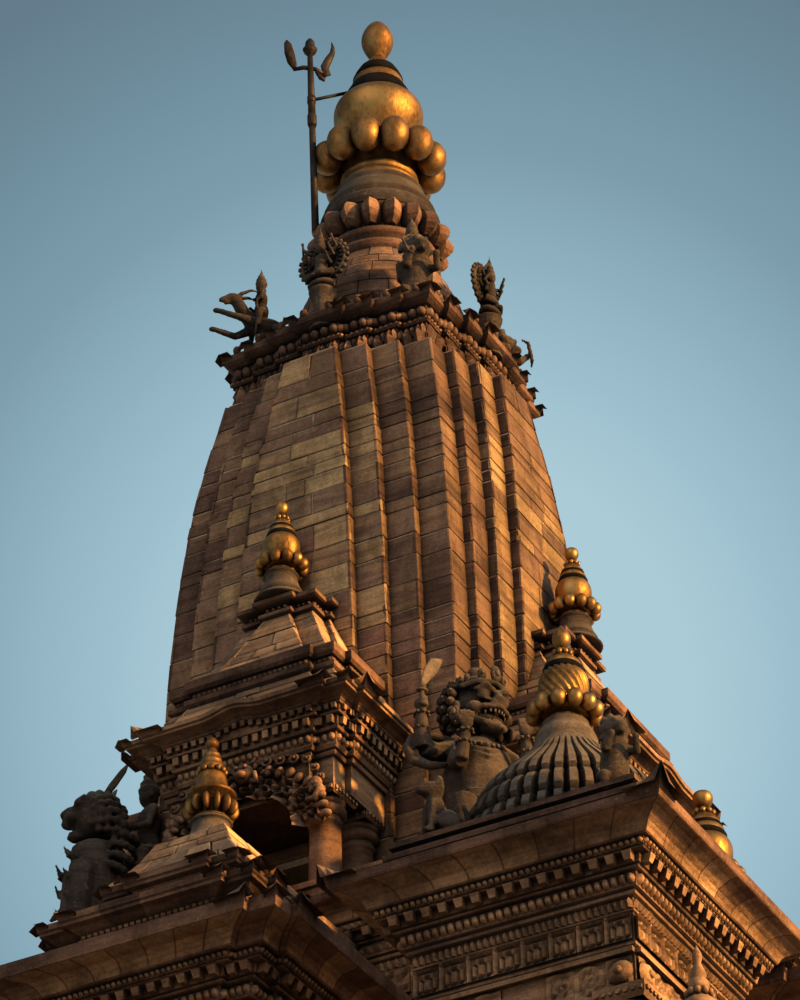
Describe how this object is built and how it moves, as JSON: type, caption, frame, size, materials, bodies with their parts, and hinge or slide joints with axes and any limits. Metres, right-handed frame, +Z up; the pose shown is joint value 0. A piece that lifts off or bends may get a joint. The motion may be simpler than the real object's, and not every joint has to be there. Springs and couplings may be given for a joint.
{
  "type": "hindu temple",
  "caption": "Tall stone temple on a stepped base: arcaded ground floor, terraces of small domed and tiered pavilions, and a curved ribbed tower with porches and gilded finials.",
  "frame": {"origin": "centre of the underside of the stepped base, at ground level", "axes": "+Z up along the tower, -Y towards the front face, +X towards the right face"},
  "size_m": [12.4, 12.4, 22.895],
  "materials": {
    "sandstone": "weathered coursed blocks with pale joints",
    "dark_stone": "grimy carved mouldings",
    "grey_stone": "matte worn grey stone",
    "gilded_metal": "worn gilding with dark bands",
    "dark_iron": "dark weathered iron"
  },
  "bodies": {
    "root": {"arcade_back": "sandstone", "arcade_front": "sandstone", "arcade_left": "sandstone", "arcade_right": "sandstone", "corner_finial_back_left": "gilded_metal", "corner_finial_back_right": "gilded_metal", "corner_finial_front_left": "gilded_metal", "corner_finial_front_right": "gilded_metal", "corner_pavilion_lower_back_left": "sandstone", "corner_pavilion_lower_back_right": "sandstone", "corner_pavilion_lower_front_left": "sandstone", "corner_pavilion_lower_front_right": "sandstone", "corner_pavilion_upper_back_left": "sandstone", "corner_pavilion_upper_back_right": "sandstone", "corner_pavilion_upper_front_left": "sandstone", "corner_pavilion_upper_front_right": "sandstone", "cornice_terrace_ground": "dark_stone", "cornice_terrace_lower": "dark_stone", "cornice_terrace_upper": "dark_stone", "guardian_back_left": "grey_stone", "guardian_back_right": "grey_stone", "guardian_front_left": "grey_stone", "guardian_front_right": "grey_stone", "hall_ground": "sandstone", "hall_lower": "sandstone", "hall_upper": "sandstone", "middle_finial_back": "gilded_metal", "middle_finial_front": "gilded_metal", "middle_finial_left": "gilded_metal", "middle_finial_right": "gilded_metal", "middle_pavilion_lower_back": "sandstone", "middle_pavilion_lower_front": "sandstone", "middle_pavilion_lower_left": "sandstone", "middle_pavilion_lower_right": "sandstone", "middle_pavilion_upper_back": "sandstone", "middle_pavilion_upper_front": "sandstone", "middle_pavilion_upper_left": "sandstone", "middle_pavilion_upper_right": "sandstone", "plinth": "dark_stone", "porch_back": "sandstone", "porch_finial_back": "gilded_metal", "porch_finial_front": "gilded_metal", "porch_finial_left": "gilded_metal", "porch_finial_right": "gilded_metal", "porch_front": "sandstone", "porch_left": "sandstone", "porch_right": "sandstone", "top_finial": "gilded_metal", "tower": "sandstone", "tower_cornice": "dark_stone", "tower_neck": "grey_stone", "trident": "dark_iron"}
  },
  "joints": []
}
